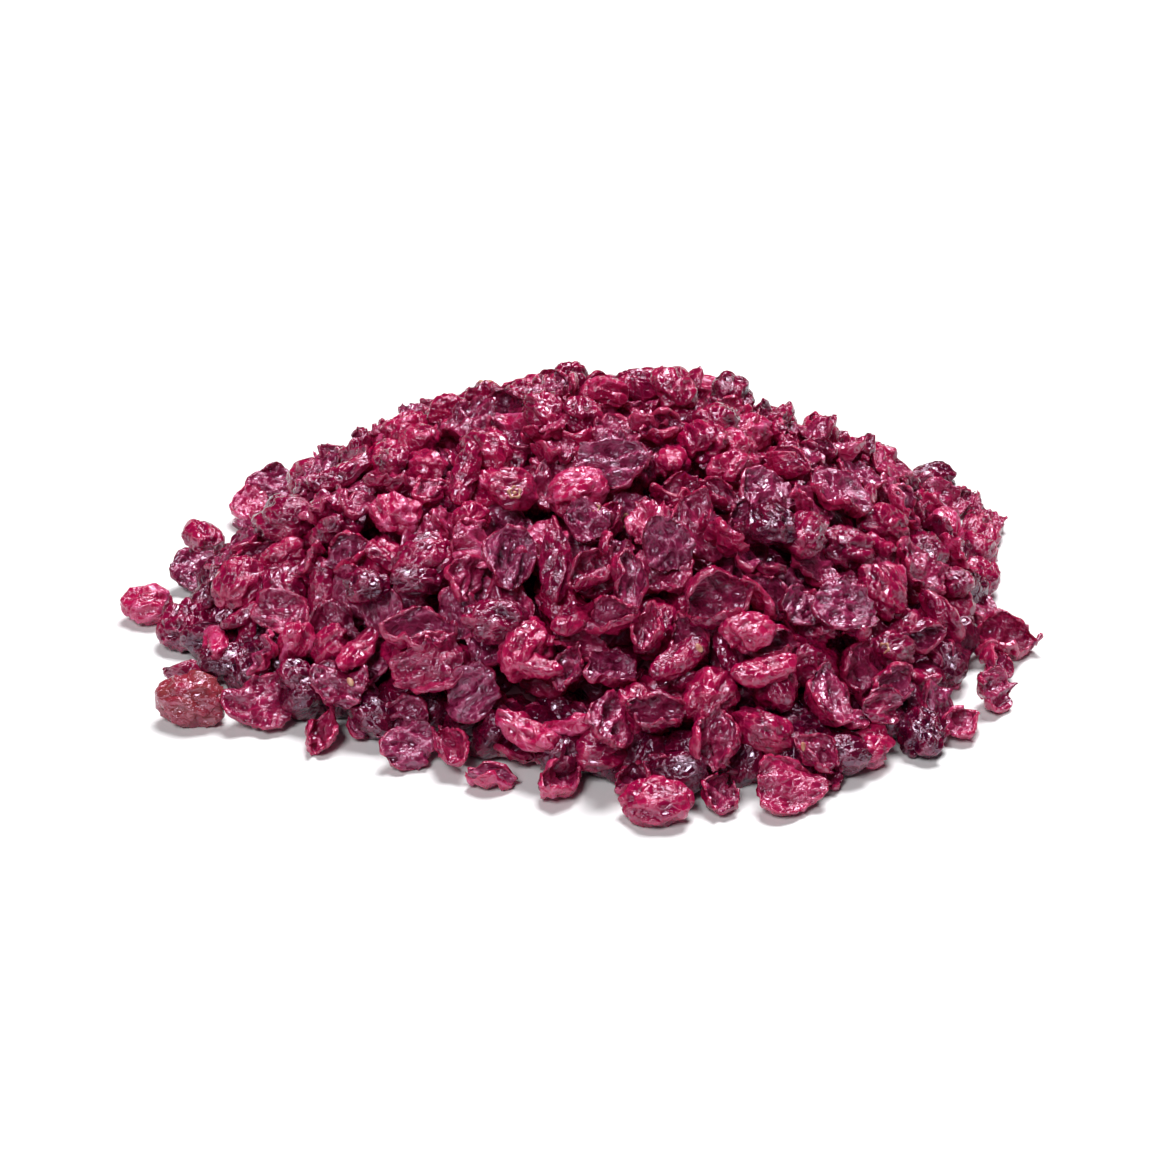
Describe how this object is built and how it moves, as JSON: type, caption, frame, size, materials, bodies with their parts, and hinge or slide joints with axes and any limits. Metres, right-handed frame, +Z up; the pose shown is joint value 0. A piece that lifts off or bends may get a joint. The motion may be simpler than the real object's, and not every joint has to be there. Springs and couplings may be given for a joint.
{
  "type": "heap of dried cranberries",
  "caption": "Loose heap of wrinkled dried cranberries, whole berries, cut halves and curls, lying on a flat surface.",
  "frame": {"origin": "middle of the heap's footprint, on the surface that it lies on", "axes": "+Z up, +X to the heap's right, -Y towards its front, where the outermost berries lie apart"},
  "size_m": [0.2022, 0.1933, 0.0497],
  "materials": {
    "dried_cranberry": "gloss"
  },
  "bodies": {
    "root": {"cranberry_heap": "dried_cranberry"}
  },
  "joints": []
}
